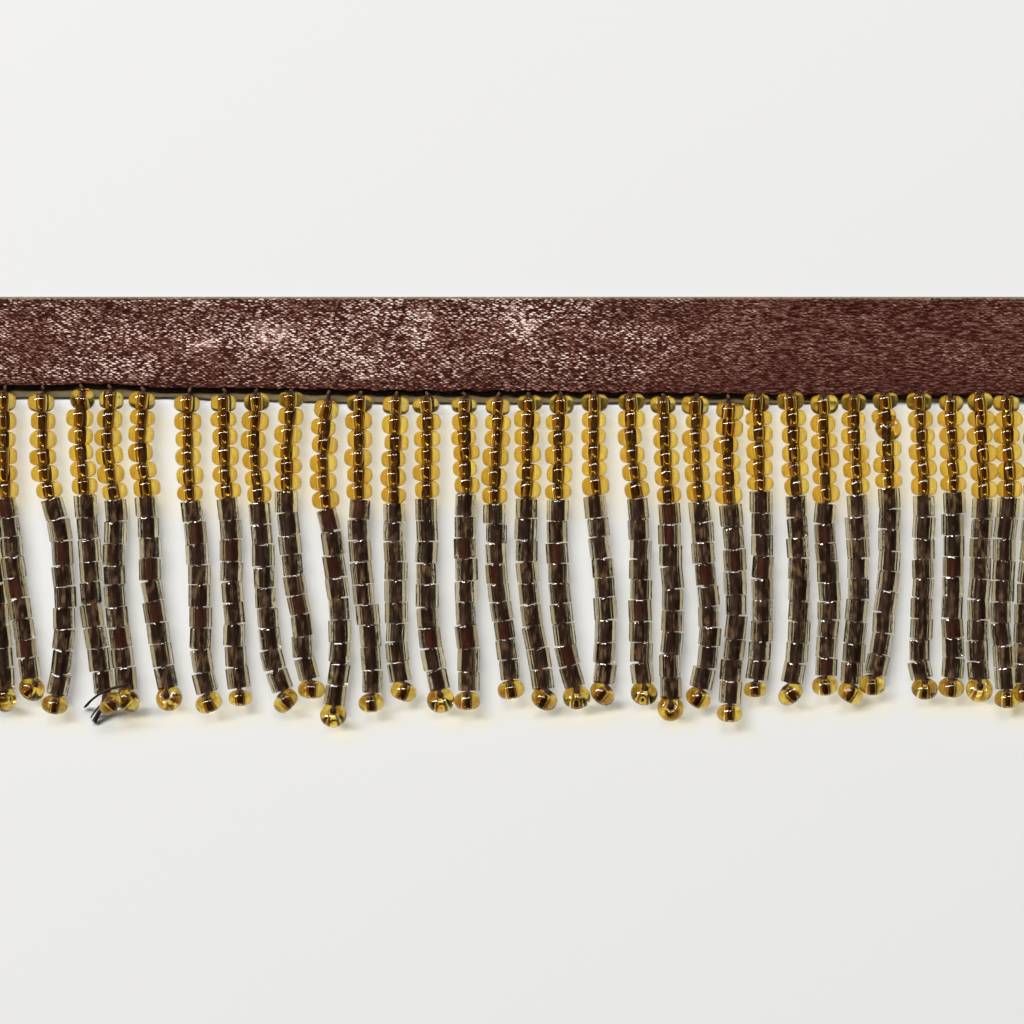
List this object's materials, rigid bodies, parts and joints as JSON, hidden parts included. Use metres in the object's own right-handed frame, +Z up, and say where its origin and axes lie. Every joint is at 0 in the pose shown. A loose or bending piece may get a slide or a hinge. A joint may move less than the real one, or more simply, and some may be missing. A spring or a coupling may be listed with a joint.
{
  "type": "beaded fringe trim",
  "caption": "Cut length of dark brown satin ribbon with a hanging fringe of bead strands, amber round beads above clear dark-cored cut beads, laid flat.",
  "frame": {"origin": "in the ribbon's flat underside, on the ribbon's centre line, halfway along the cut", "axes": "+X along the ribbon, +Y from the fringe to the ribbon's upper edge, +Z up off the surface that the trim lies on"},
  "size_m": [0.116, 0.0449, 0.0028],
  "materials": {
    "satin": "satin",
    "round_beads": "polished",
    "cut_beads": "polished",
    "thread": "matte"
  },
  "bodies": {
    "root": {"ribbon": "satin", "fringe": "round_beads"}
  },
  "joints": []
}
